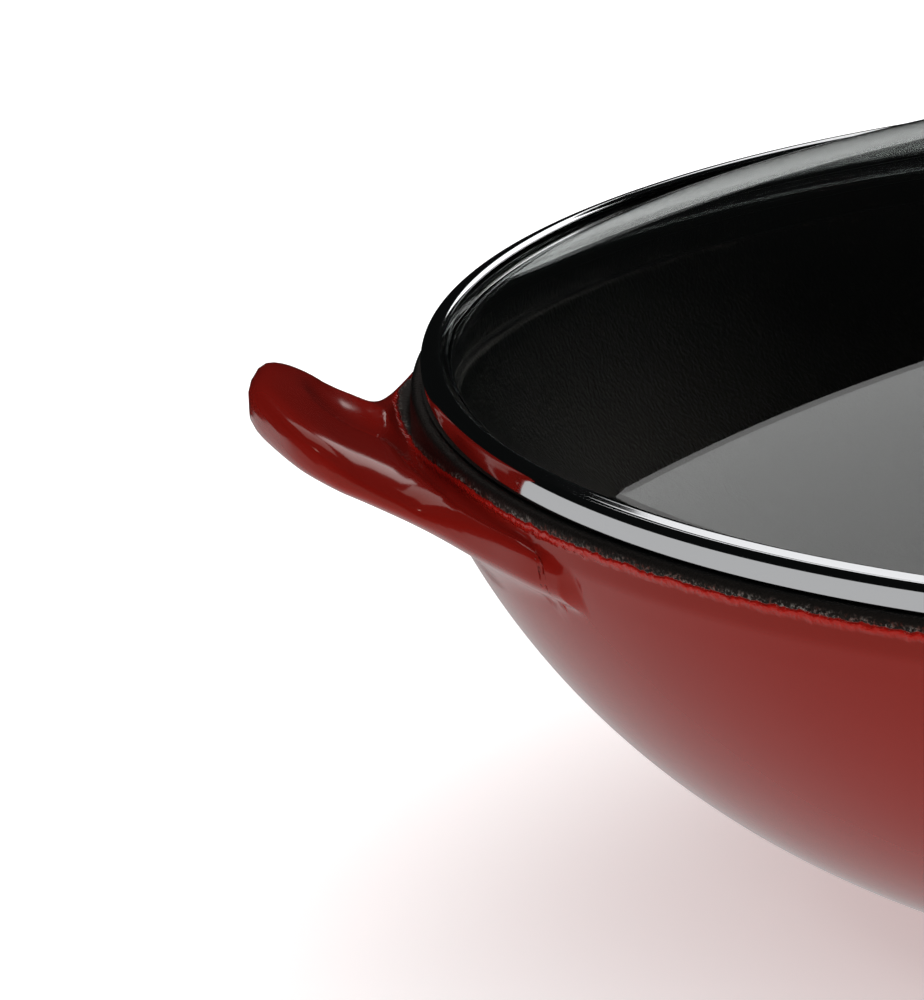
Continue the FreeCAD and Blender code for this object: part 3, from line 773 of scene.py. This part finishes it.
@dataclass
class PanCasting:
    """The pan: one casting with both lugs, its inside turned and its outside joined smoothly to the lugs."""

    lug: Lug = field(default_factory=Lug)
    body_r: float = 179.95
    rim_top_r: float = 178.8
    rim_round_drop: float = 1.6
    arc_r: float = 122.5
    arc_centre: tuple[float, float] = (64.0, SEAT_Z + 33.0)
    wall: float = 4.6
    floor_z: float = 7.6
    foot_r: float = 64.0
    foot_step: float = 1.6
    rebate_r: float = 176.2
    rebate_depth: float = 9.0
    ledge_r: float = 173.6
    lip_round: float = 0.6
    ledge_round: float = 1.2
    ledge_drop: float = 4.0
    floor_mid_r: float = 30.0
    floor_corner: float = 2.0
    edge_break: float = 0.4
    rim_bend: tuple[float, float] = (0.35, 0.4)
    wall_low_z: float = 3.8
    foot_corner: tuple[float, float, float] = (0.6, 0.1, -0.2)
    foot_lift: float = 0.2
    inside_steps: int = 20
    inside_crowding: float = 1.8
    lug_steps: int = 40
    wall_steps: int = 120
    wall_crowding: float = 0.55
    collar_low_z: float = 85.48
    fan_degrees: float = 19.0
    lug_zone_degrees: float = 25.0
    fan_step: float = 0.29
    root_step: float = 0.5
    open_step: float = 0.8
    outer_rows: int = 110
    pinned_rows: int = 9
    pinned_low_rows: int = 24
    measuring_steps: int = 1200
    even_rounds: int = 12
    closing_rounds: int = 3
    longest_move: float = 1.5
    slope_step: float = 0.02
    wall_span: float = 115.0
    wall_thinning: float = 0.72
    rim_span: float = 3.0
    rim_density: float = 2.6
    evening: tuple[float, float] = (0.45, 0.55)
    least_slope: float = 0.25
    weld_mm: float = 0.002
    fillets: tuple[float, float] = (4.5, 2.0)
    fillet_heights: tuple[float, float] = (-16.0, -9.0)
    fillet_fade: tuple[float, float] = (10.0, 19.0)
    fillet_left: float = 0.12
    collar_black: float = 2.6
    collar_black_at_lug: float = 6.4
    collar_black_middle: float = -12.0
    collar_black_span: float = 24.0
    under_inside: float = -10.0
    under_foot: float = 20.0

    def bowl_r(self, z: float, inset: float) -> float:
        """Return the bowl section's radius at a height, for a surface this far inside the outer one."""
        return self.arc_centre[0] + math.sqrt((self.arc_r - inset) ** 2 - (self.arc_centre[1] - z) ** 2)

    def inside(self) -> list[tuple[float, float]]:
        """Return the section from the middle of the pan's floor up to the edge of the rim's flat top.

        Returns:
            Radius and height points.
        """
        ledge_z = SEAT_Z - self.rebate_depth
        join_z = ledge_z - self.ledge_drop
        section = Section().to(0.0, self.floor_z).to(self.floor_mid_r, self.floor_z)
        section.to(self.bowl_r(self.floor_z, self.wall) - self.floor_corner, self.floor_z)
        rise = np.linspace(0.0, 1.0, self.inside_steps) ** self.inside_crowding
        for z in self.floor_z + (join_z - self.floor_z) * rise:
            section.to(self.bowl_r(float(z), self.wall), float(z))
        lip = self.ledge_r + self.ledge_round
        section.round((lip, ledge_z - self.ledge_round), self.ledge_round, 180.0, 90.0, 4)
        section.to(self.rebate_r - self.edge_break, ledge_z).to(self.rebate_r, ledge_z + self.edge_break)
        section.to(self.rebate_r, SEAT_Z - 2.0 * self.lip_round)
        rim_edge = (self.rebate_r + self.lip_round, SEAT_Z - self.lip_round)
        section.round(rim_edge, self.lip_round, 180.0, 90.0, 3)
        section.to(self.rim_top_r - self.edge_break, SEAT_Z).to(self.rim_top_r, SEAT_Z)
        return section.points

    def outer_path(self, turn: float) -> np.ndarray:
        """Return one column of the outer skin, from the rim down to the foot, out along the lug where it is.

        Args:
            turn: the column's angle from the lug's middle, in degrees.

        Returns:
            Rows of x, y and z over the rim, dense enough to be measured along.
        """
        out = np.array([math.cos(math.radians(turn)), math.sin(math.radians(turn))])
        rim = Section([(self.rim_top_r, SEAT_Z)])
        rim_pull = (self.body_r - self.rim_bend[0], SEAT_Z - self.rim_bend[1])
        rim.bend(rim_pull, (self.body_r, SEAT_Z - self.rim_round_drop), 6)
        path = [(*(out * r), z - SEAT_Z) for r, z in rim.points]
        if abs(turn) < self.fan_degrees:
            outline = self.lug.outline()
            outline = outline[np.hypot(outline[:, 0], outline[:, 1]) >= self.lug.root_radius][::-1]
            walked = np.r_[0.0, np.cumsum(np.hypot(*np.diff(outline, axis=0).T))]
            share = abs(turn) / self.fan_degrees * walked[-1]
            edge = np.array([np.interp(share, walked, outline[:, i]) for i in range(2)])
            edge[1] *= np.sign(turn) if turn else 1.0
            root = out * self.lug.root_radius
            for height, order in ((self.lug.top_height, 1), (self.lug.under_height, -1)):
                shares = np.linspace(0.0, 1.0, self.lug_steps)
                line = np.array([root + (edge - root) * t for t in shares][::order])
                path += list(np.c_[line, height(line[:, 0], line[:, 1])])
        low = path[-1][2] + SEAT_Z if abs(turn) < self.fan_degrees else self.collar_low_z
        fall = np.linspace(0.0, 1.0, self.wall_steps) ** self.wall_crowding
        for z in low + (self.wall_low_z - low) * fall:
            path.append((*(out * self.bowl_r(float(z), 0.0)), float(z) - SEAT_Z))
        path.append((*(out * (self.foot_r + self.foot_corner[0])), self.foot_step - SEAT_Z))
        path.append((*(out * (self.foot_r + self.foot_corner[1])), self.foot_lift - SEAT_Z))
        return np.array(path)

    def column(self, turn: float) -> tuple[np.ndarray, np.ndarray]:
        """Return one column of the outer skin in its final rows.

        Args:
            turn: the column's angle from the lug's middle, in degrees.

        Returns:
            The points, and how far along the column each lies from the rim's flat top.
        """
        path = self.outer_path(turn)
        walked = np.r_[0.0, np.cumsum(np.linalg.norm(np.diff(path, axis=0), axis=1))]
        total = walked[-1]
        places = np.linspace(0.0, total, self.measuring_steps)
        fall = np.clip((places - (total - self.wall_span)) / (0.5 * self.wall_span), 0.0, 1.0)
        density = np.where(places < self.rim_span, self.rim_density, 1.0 - self.wall_thinning * fall)
        count = np.r_[0.0, np.cumsum(0.5 * (density[1:] + density[:-1]) * np.diff(places))]
        rows = np.interp(np.linspace(0.0, count[-1], self.outer_rows), count, places)
        return np.stack([np.interp(rows, walked, path[:, i]) for i in range(3)], 1), rows

    def distance(self, points: np.ndarray) -> np.ndarray:
        """Return how far each point lies outside the joined body and lug.

        Args:
            points: rows of x, y and z, z being over the rim.

        Returns:
            One distance each, negative inside.
        """
        radius = np.hypot(points[:, 0], points[:, 1])
        z = points[:, 2] + SEAT_Z
        bowl = np.hypot(radius - self.arc_centre[0], z - self.arc_centre[1]) - self.arc_r
        body = np.maximum(bowl, radius - self.body_r)
        turn = np.degrees(np.abs(np.arctan2(points[:, 1], points[:, 0])))
        fillet = np.interp(points[:, 2], self.fillet_heights, self.fillets)
        fillet = fillet * np.interp(turn, self.fillet_fade, (1.0, self.fillet_left))
        return rounded_join(body, self.lug.distance(points), fillet)

    def settled(self, grid: np.ndarray) -> np.ndarray:
        """Return the lug's part of the skin, evened out and drawn onto the joined surface.

        Args:
            grid: rows by columns of points, z being over the rim.

        Returns:
            The same grid, on the surface.
        """
        free = slice(self.pinned_rows, self.outer_rows - self.pinned_low_rows)
        step = self.slope_step
        for turn in range(self.even_rounds + self.closing_rounds):
            if turn < self.even_rounds:
                around = 0.25 * (grid[2:, 1:-1] + grid[:-2, 1:-1] + grid[1:-1, 2:] + grid[1:-1, :-2])
                inner = grid[free, 1:-1]
                beside = around[free.start - 1 : free.stop - 1]
                grid[free, 1:-1] = self.evening[0] * inner + self.evening[1] * beside
            flat = grid[free].reshape(-1, 3)
            for _ in range(2):
                here = self.distance(flat)
                slope = np.stack([(self.distance(flat + axis * step) - here) / step for axis in np.eye(3)], 1)
                size = np.maximum((slope**2).sum(1), self.least_slope)
                flat = flat - np.clip(here / size, -self.longest_move, self.longest_move)[:, None] * slope
            grid[free] = flat.reshape(grid[free].shape)
        return grid

    def black_reach(self, turns: np.ndarray) -> np.ndarray:
        """Return how far the black coat runs down the collar at each angle from a lug's middle."""
        near = np.clip(1.0 - np.abs(turns - self.collar_black_middle) / self.collar_black_span, 0.0, 1.0)
        return self.collar_black + self.collar_black_at_lug * near**2 * (3.0 - 2.0 * near)

    def mesh(self, material: bpy.types.Material) -> bpy.types.Mesh:
        """Return the closed mesh of the whole casting, with the attribute that its enamel reads.

        Args:
            material: the finish.

        Returns:
            The mesh, in metres.
        """
        half = self.lug_zone_degrees
        fan = np.arange(-self.fan_degrees + 0.5 * self.fan_step, self.fan_degrees, self.fan_step)
        root = np.arange(self.fan_degrees, half, self.root_step) + 0.5 * self.root_step
        lug_turns = np.r_[-root[::-1], fan, root]
        built = [self.column(float(turn)) for turn in lug_turns]
        lug_grid = self.settled(np.stack([c[0] for c in built], 1))
        lug_walk = np.stack([c[1] for c in built], 1)
        open_turns = np.arange(half, 180.0 - half, self.open_step) + 0.5 * self.open_step
        plain, plain_walk = self.column(90.0)
        open_grid = np.stack([self.turned(plain, float(turn) - 90.0) for turn in open_turns], 1)
        open_walk = np.repeat(plain_walk[:, None], len(open_turns), 1)
        side = np.concatenate([lug_grid, open_grid], 1)
        outer = np.concatenate([side, self.turned(side, 180.0)], 1)
        walk = np.tile(np.concatenate([lug_walk, open_walk], 1), (1, 2))
        turns = np.r_[lug_turns, open_turns]
        reach = np.tile(self.black_reach(np.where(turns > 90.0, turns - 180.0, turns)), 2)
        angles = np.radians(np.r_[turns, turns + 180.0])
        inner = np.array([[(r * math.cos(a), r * math.sin(a), z - SEAT_Z) for a in angles]
                          for r, z in self.inside()[:-1]])
        foot = np.array([[(r * math.cos(a), r * math.sin(a), -SEAT_Z) for a in angles]
                         for r in (self.foot_r + self.foot_corner[2], self.floor_mid_r, 0.0)])
        grid = np.concatenate([inner, outer, foot], 0)
        grid[..., 2] += SEAT_Z
        under = np.concatenate([np.full((len(inner), len(angles)), self.under_inside), walk - reach,
                                np.full((len(foot), len(angles)), self.under_foot)], 0)
        return self.skinned(grid, under, material)

    def turned(self, points: np.ndarray, degrees: float) -> np.ndarray:
        """Return points turned about the axis."""
        c, s = math.cos(math.radians(degrees)), math.sin(math.radians(degrees))
        return points @ np.array([[c, s, 0.0], [-s, c, 0.0], [0.0, 0.0, 1.0]])

    def skinned(self, grid: np.ndarray, under: np.ndarray, material: bpy.types.Material) -> bpy.types.Mesh:
        """Join a grid of points into a closed mesh.

        Args:
            grid: rows by columns of points, in millimetres; the columns close on themselves.
            under: how far under the red coat's edge each point lies.
            material: the finish.

        Returns:
            The mesh, in metres.
        """
        rows, columns = under.shape
        index = np.arange(rows * columns).reshape(rows, columns)
        following = np.roll(index, -1, 1)
        faces = np.stack([index[:-1], following[:-1], following[1:], index[1:]], -1).reshape(-1, 4)
        mesh = bpy.data.meshes.new("pan_casting")
        mesh.from_pydata((grid.reshape(-1, 3) * MM).tolist(), [], faces.tolist())
        attribute = mesh.attributes.new("under_red_edge", "FLOAT", "POINT")
        attribute.data.foreach_set("value", under.reshape(-1).astype(np.float32))
        mesh.materials.append(material)
        shell = bmesh.new()
        shell.from_mesh(mesh)
        bmesh.ops.remove_doubles(shell, verts=shell.verts, dist=self.weld_mm * MM)
        shell.to_mesh(mesh)
        shell.free()
        return mesh

    def build(self) -> bpy.types.Object:
        """Build and dress the casting."""
        mesh = self.mesh(TwoCoatEnamel().make())
        return finished_piece("pan_casting", mesh, Body.PAN, Slot.ENAMELLED_IRON, "wok_body")


@dataclass
class Lid:
    """The domed glass in its rolled steel band, with the seal between them and the steam vent."""

    lathe: Lathe
    steps: int = 480
    flange_z: float = SEAT_Z + 0.3
    sheet: float = 0.6
    band_r: float = 178.0
    side_top: float = SEAT_Z + 4.1
    crown: float = SEAT_Z + 5.9
    roll_r: float = 176.2
    lip_r: float = 174.4
    lip_z: float = SEAT_Z + 5.2
    skirt_r: float = 175.5
    skirt_drop: float = 4.4
    fold: float = 0.2
    hem_round: float = 0.35
    hem_in: float = 0.45
    roll_start: tuple[float, float] = (0.9, 0.7)
    facet_pull: tuple[float, float] = (0.18, 0.72)
    facet_end: tuple[float, float] = (0.85, 1.16)
    crown_pull: tuple[float, float] = (0.2, 0.32)
    crown_end: tuple[float, float] = (0.5, 0.02)
    lip_pull: tuple[float, float] = (0.55, 0.24)
    lip_edge: tuple[float, float] = (0.406, 0.442)
    inner_lip_pull: tuple[float, float] = (1.05, 0.14)
    inner_roll_pull: float = 0.849
    seal_play: float = 0.1
    glass_steps: int = 72
    glass_round: float = 0.5
    glass_break: float = 0.3
    flange_bend: tuple[float, float, float] = (1.2, 1.1, 0.1)
    glass_edge_r: float = 176.7
    glass_under: float = SEAT_Z + 1.4
    glass_inner_r: float = 172.2
    knob_hole_r: float = 4.2
    vent_offset: float = 92.0
    vent_hole_r: float = 4.0
    vent_sides: int = 66

    def band_section(self) -> Section:
        """Return the band's section: skirt, flange, side, rolled top edge and the way back inside.

        Returns:
            The closed section.
        """
        skirt_in, bottom = self.skirt_r - self.sheet, SEAT_Z - self.skirt_drop
        side = self.band_r - self.sheet
        hem = 0.5 * self.sheet
        section = Section().round((skirt_in + hem, bottom + hem), hem, -180.0, 0.0, 8)
        section.to(self.skirt_r, self.flange_z - self.fold).to(self.skirt_r + self.fold, self.flange_z)
        section.to(self.band_r - self.hem_in, self.flange_z)
        hem_centre = (self.band_r - self.hem_round, self.flange_z + self.hem_round)
        section.round(hem_centre, self.hem_round, -90.0, 0.0, 5)
        for drop in self.roll_start:
            section.to(self.band_r, self.side_top - drop)
        facet = (self.band_r - self.facet_end[0], self.side_top + self.facet_end[1])
        section.bend((self.band_r - self.facet_pull[0], self.side_top + self.facet_pull[1]), facet, 12)
        crown = (self.roll_r - self.crown_end[0], self.crown - self.crown_end[1])
        section.bend((self.roll_r + self.crown_pull[0], self.crown - self.crown_pull[1]), crown, 4)
        lip_pull = (self.lip_r + self.lip_pull[0], self.crown - self.lip_pull[1])
        section.bend(lip_pull, (self.lip_r, self.lip_z), 8)
        section.to(self.lip_r + self.lip_edge[0], self.lip_z - self.lip_edge[1])
        inner_pull = (self.lip_r + self.inner_lip_pull[0], self.crown - self.sheet - self.inner_lip_pull[1])
        section.bend(inner_pull, (self.roll_r, self.crown - self.sheet), 6)
        side_pull = (self.roll_r + self.inner_roll_pull, self.side_top + self.inner_roll_pull)
        section.bend(side_pull, (side, self.side_top), 8)
        section.to(side, self.flange_z + self.sheet).to(skirt_in, self.flange_z + self.sheet)
        return section.to(skirt_in, bottom + hem)

    def seal_section(self) -> Section:
        """Return the section of the seal that fills the channel round the glass edge.

        Returns:
            The closed section.
        """
        low, under = self.flange_z + self.sheet, self.glass_under
        outer, inner = self.band_r - self.sheet - self.seal_play, self.skirt_r - self.sheet
        section = Section().to(inner, low).to(outer, low).to(outer, self.side_top)
        section.to(self.glass_edge_r, self.side_top).to(self.glass_edge_r, under)
        return section.to(inner, under).to(inner, low)

    def glass_section(self) -> Section:
        """Return the glass's section: dome, flange and the hole for the knob.

        Returns:
            The closed section.
        """
        top, under = GLASS_TOP_Z, self.glass_under
        inward, outward, lift = self.flange_bend
        rounding, chamfer = self.glass_round, self.glass_break
        section = Section().dome(self.knob_hole_r, DOME_EDGE_R - inward, 0.0, self.glass_steps)
        section.bend((DOME_EDGE_R, top + lift), (DOME_EDGE_R + outward, top), 5)
        section.to(self.glass_edge_r - rounding, top)
        section.round((self.glass_edge_r - rounding, top - rounding), rounding, 90.0, 0.0, 4)
        section.to(self.glass_edge_r, under + chamfer).to(self.glass_edge_r - chamfer, under)
        section.to(self.glass_inner_r + chamfer, under).to(self.glass_inner_r, under + chamfer)
        section.dome(self.glass_inner_r - rounding, self.knob_hole_r, GLASS_T, self.glass_steps)
        return section.to(self.knob_hole_r, dome_z(self.knob_hole_r, 0.0))

    def with_vent_hole(self, mesh: bpy.types.Mesh) -> bpy.types.Mesh:
        """Return the glass mesh with the vent hole cut through it.

        Args:
            mesh: the glass without the hole.

        Returns:
            The drilled mesh.
        """
        dome = bpy.data.objects.new("dome_blank", mesh)
        bpy.context.scene.collection.objects.link(dome)
        drill = bmesh.new()
        place = Matrix.Translation((0.0, self.vent_offset * MM, dome_z(self.vent_offset, GLASS_T) * MM))
        place = place @ Matrix.Rotation(0.5 * FULL_TURN / self.vent_sides, 4, "Z")
        bmesh.ops.create_cone(drill, cap_ends=True, segments=self.vent_sides, radius1=self.vent_hole_r * MM,
                              radius2=self.vent_hole_r * MM, depth=6.0 * GLASS_T * MM, matrix=place)
        bit_mesh = bpy.data.meshes.new("vent_bit")
        drill.to_mesh(bit_mesh)
        drill.free()
        bit = bpy.data.objects.new("vent_bit", bit_mesh)
        bpy.context.scene.collection.objects.link(bit)
        cut = dome.modifiers.new("vent", "BOOLEAN")
        cut.operation = "DIFFERENCE"
        cut.solver = "EXACT"
        cut.object = bit
        graph = bpy.context.evaluated_depsgraph_get()
        drilled = bpy.data.meshes.new_from_object(dome.evaluated_get(graph), depsgraph=graph)
        for spare in (dome, bit):
            bpy.data.objects.remove(spare)
        return drilled

    def build(self) -> None:
        """Build and dress the band, the seal and the glass with its vent hole; the vent's eyelet is dressed
        with the knob's hardware.
        """
        band = self.lathe.turn(self.band_section(), self.steps, PolishedSteel().make())
        finished_piece("rolled_band", band, Body.LID, Slot.STEEL_BAND, "lid_band")
        silicone = MouldedPolymer("silicone_rubber_moulded_grey", "#8E9291", "#868A89", 0.5, 0.8, 0.01)
        seal = self.lathe.turn(self.seal_section(), self.steps, silicone.make())
        finished_piece("channel_seal", seal, Body.LID, Slot.SILICONE, "band_seal")
        glass = self.with_vent_hole(self.lathe.turn(self.glass_section(), self.steps, TemperedGlass().make()))
        finished_piece("domed_glass", glass, Body.LID, Slot.CLEAR_GLASS, "lid_glass")


@dataclass
class KnobStack:
    """The knob and the pieces that clamp it to the glass."""

    lathe: Lathe
    steps: int = 128
    base_z: float = GLASS_TOP_Z + DOME_RISE + 2.2
    base_r: float = 16.5
    neck_r: float = 11.0
    cap_r: float = 23.0
    height: float = 27.0
    neck_up: float = 9.0
    edge_up: float = 18.0
    crown_r: float = 5.0
    socket_r: float = 5.52
    socket_depth: float = 16.0
    counter_r: float = 7.02
    counter_depth: float = 1.22

    def knob_section(self) -> Section:
        """Return the knob's section, hollowed for its threaded insert.

        Returns:
            The closed section.
        """
        floor, neck, edge = self.base_z + 0.1, self.base_z + self.neck_up, self.base_z + self.edge_up
        top = self.base_z + self.height
        section = Section().to(self.counter_r, floor)
        section.to(self.base_r - 0.5, floor).to(self.base_r, floor + 0.4)
        section.bend((self.neck_r + 1.6, self.base_z + 0.45 * self.neck_up), (self.neck_r, neck), 12)
        section.bend((self.neck_r + 4.4, edge - 4.0), (self.cap_r - 1.4, edge - 1.2), 12)
        section.bend((self.cap_r, edge + 0.6), (self.cap_r - 1.0, edge + 2.6), 8)
        section.bend((0.62 * self.cap_r, top - 2.2), (self.crown_r, top), 16)
        section.to(0.0, top).to(0.0, self.base_z + self.socket_depth)
        section.to(self.socket_r, self.base_z + self.socket_depth)
        section.to(self.socket_r, self.base_z + self.counter_depth)
        section.to(self.counter_r, self.base_z + self.counter_depth)
        return section.to(self.counter_r, floor)

    def build(self) -> None:
        """Build and dress the knob, and dress the CAD hardware under it."""
        resin = MouldedPolymer("phenolic_resin_moulded_black", "#0C0C0D", "#121213", 0.24, 2.2, 0.02)
        knob = self.lathe.turn(self.knob_section(), self.steps, resin.make())
        finished_piece("moulded_knob", knob, Body.LID, Slot.KNOB_RESIN, "knob")
        steel = TurnedMetal("stainless_steel_turned", "#C9CACB", 0.22).make()
        brass = TurnedMetal("brass_turned", "#B58E4C", 0.28).make()
        rubber = MouldedPolymer("silicone_rubber_moulded_black", "#141515", "#1B1C1C", 0.5, 0.6, 0.01).make()
        dressing = {
            "vent_eyelet": steel, "knob_plate": steel, "flat_washer": steel, "knob_screw": steel,
            "knob_insert": brass, "seal_washer_upper": rubber, "seal_washer_lower": rubber,
        }
        for node, material in dressing.items():
            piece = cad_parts[node]
            piece.data.materials.clear()
            piece.data.materials.append(material)
            LOG.info("%s: CAD piece dressed as %s", node, material.name)


@dataclass(frozen=True)
class SoftBox:
    """A rectangular studio light that hangs at one place and faces another."""

    name: str
    place: tuple[float, float, float]
    faces: tuple[float, float, float]
    size: tuple[float, float]
    brightness: float

    def build(self) -> None:
        """Add the light; brightness is the radiance of its face, and white card is 1."""
        light = bpy.data.lights.new(self.name, "AREA")
        light.shape = "RECTANGLE"
        light.size, light.size_y = self.size
        light.energy = self.brightness * math.pi * self.size[0] * self.size[1]
        lamp = bpy.data.objects.new(self.name, light)
        lamp.location = self.place
        aim = Vector(self.faces) - Vector(self.place)
        lamp.rotation_euler = aim.to_track_quat("-Z", "Y").to_euler()
        lamp.visible_camera = False
        bpy.context.scene.collection.objects.link(lamp)


@dataclass
class Studio:
    """The pale floor, the lights and the camera."""

    floor_half: float = 30.0
    table_half: float = 0.42
    sun_strength: float = 2.3
    sun_degrees: float = 120.0
    dark: str = "#0B0C0C"
    boxes: tuple[SoftBox, ...] = (
        SoftBox("roof_box", (0.06, 0.93, 1.2), (0.06, 0.93, 0.0), (1.1, 1.2), 1.0),
        SoftBox("window_box", (-1.6, -0.6, 1.6), (-0.19, 0.0, 0.09), (0.3, 0.3), 6.0),
        SoftBox("bounce_card", (-0.1, -0.1, 0.0005), (-0.1, -0.1, 1.0), (0.84, 0.84), 0.5),
        SoftBox("side_box", (1.28, 1.5, 1.0), (-0.1, 0.05, 0.09), (1.6, 0.7), 1.5),
    )
    camera_place: tuple[float, float, float] = (-0.3313, -1.1553, 0.4208)
    camera_turn: tuple[float, float, float] = (73.591, 2.312, -8.467)
    lens: float = 254.8

    def build_floor(self) -> None:
        """Lay the table top and the wide sheet round it; the glaze reflects the bounce card instead."""
        paper = PaleFloor().make()
        near, far = self.table_half, self.floor_half
        square = ((-1, -1), (1, -1), (1, 1), (-1, 1))
        corners = [(x * s, y * s, 0.0) for s in (near, far) for x, y in square]
        around = [(i, (i + 1) % 4, 4 + (i + 1) % 4, 4 + i) for i in range(4)]
        for name, faces in (("table_top", [(0, 1, 2, 3)]), ("wide_sheet", around)):
            mesh = bpy.data.meshes.new(name)
            mesh.from_pydata(corners, [], faces)
            mesh.materials.append(paper)
            sheet = bpy.data.objects.new(name, mesh)
            sheet.visible_glossy = False
            bpy.context.scene.collection.objects.link(sheet)

    def build_lights(self) -> None:
        """Light the floor evenly and hang the softboxes that the glaze, glass and steel reflect."""
        world = bpy.data.worlds.new("dark_studio")
        world.use_nodes = True
        world.node_tree.nodes["Background"].inputs["Color"].default_value = linear_colour(self.dark)
        bpy.context.scene.world = world
        sky = bpy.data.lights.new("even_light", "SUN")
        sky.energy = self.sun_strength
        sky.angle = math.radians(self.sun_degrees)
        lamp = bpy.data.objects.new("even_light", sky)
        lamp.visible_glossy = False
        lamp.visible_transmission = False
        bpy.context.scene.collection.objects.link(lamp)
        for box in self.boxes:
            box.build()

    def build_camera(self) -> None:
        """Set up the long-lens camera, a little above the rim and to one side of the lug."""
        data = bpy.data.cameras.new("camera")
        data.lens = self.lens
        data.clip_end = 200.0
        camera = bpy.data.objects.new("camera", data)
        camera.location = self.camera_place
        camera.rotation_euler = Euler([math.radians(a) for a in self.camera_turn])
        bpy.context.scene.collection.objects.link(camera)
        bpy.context.scene.camera = camera
        bpy.context.scene.view_settings.view_transform = "Standard"

    def build(self) -> None:
        """Build the whole studio."""
        self.build_floor()
        self.build_lights()
        self.build_camera()
        LOG.info("studio ready")


def main() -> None:
    """Build the pan, the lid, the knob and the studio, and report each piece."""
    logging.basicConfig(level=logging.INFO, format="%(name)s: %(message)s")
    PanCasting().build()
    lathe = Lathe()
    Lid(lathe).build()
    KnobStack(lathe).build()
    Studio().build()


if __name__ == "__main__":
    main()
